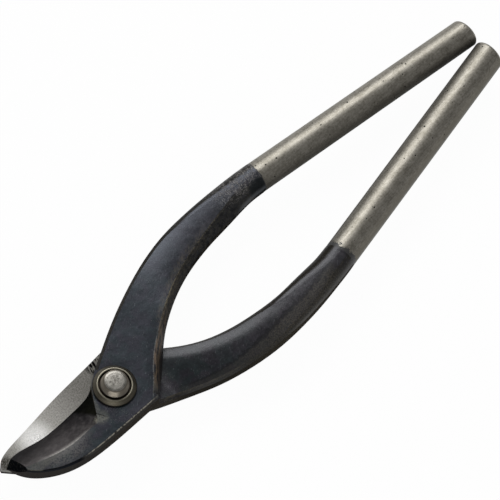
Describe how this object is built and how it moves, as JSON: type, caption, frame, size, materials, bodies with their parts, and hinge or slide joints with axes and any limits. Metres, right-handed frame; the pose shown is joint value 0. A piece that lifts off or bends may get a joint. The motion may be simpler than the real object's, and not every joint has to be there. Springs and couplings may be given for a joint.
{
  "type": "metal-cutting snips",
  "caption": "Hand-forged snips for thin sheet metal: two black forged halves with bevel-ground blades cross at a bolted pivot and end in round ground grip bars.",
  "frame": {"origin": "on the pivot axis, at the flat end of the pivot nut, which is the face the tool rests on", "axes": "+X from the pivot towards the handles, +Y towards the handle of the front half (the one whose side carries the bolt head), +Z along the pivot axis from the nut to the bolt head"},
  "size_m": [0.2663, 0.0635, 0.0258],
  "materials": {
    "forge_black": "blue-black forge scale, oiled, worn brown along the bevels",
    "edge_steel": "ground satin on the sliding face, dark on the outer bevel",
    "ground_bar": "bright, ground along the bar, with sparse black pits",
    "turned_steel": "turned, oiled and slightly worn"
  },
  "bodies": {
    "rear_half": {"rear_forging": "forge_black", "rear_edge_steel": "edge_steel", "rear_grip_bar": "ground_bar", "pivot_bolt": "turned_steel", "front_washer": "turned_steel", "rear_washer": "turned_steel", "pivot_nut": "turned_steel"},
    "front_half": {"front_forging": "forge_black", "front_edge_steel": "edge_steel", "front_grip_bar": "ground_bar"}
  },
  "joints": [
    {"name": "pivot", "type": "hinge", "parent": "rear_half", "child": "front_half", "pos_m": [0, 0, 0.0132], "axis": [0, 0, 1], "range_deg": [0, 40]}
  ]
}
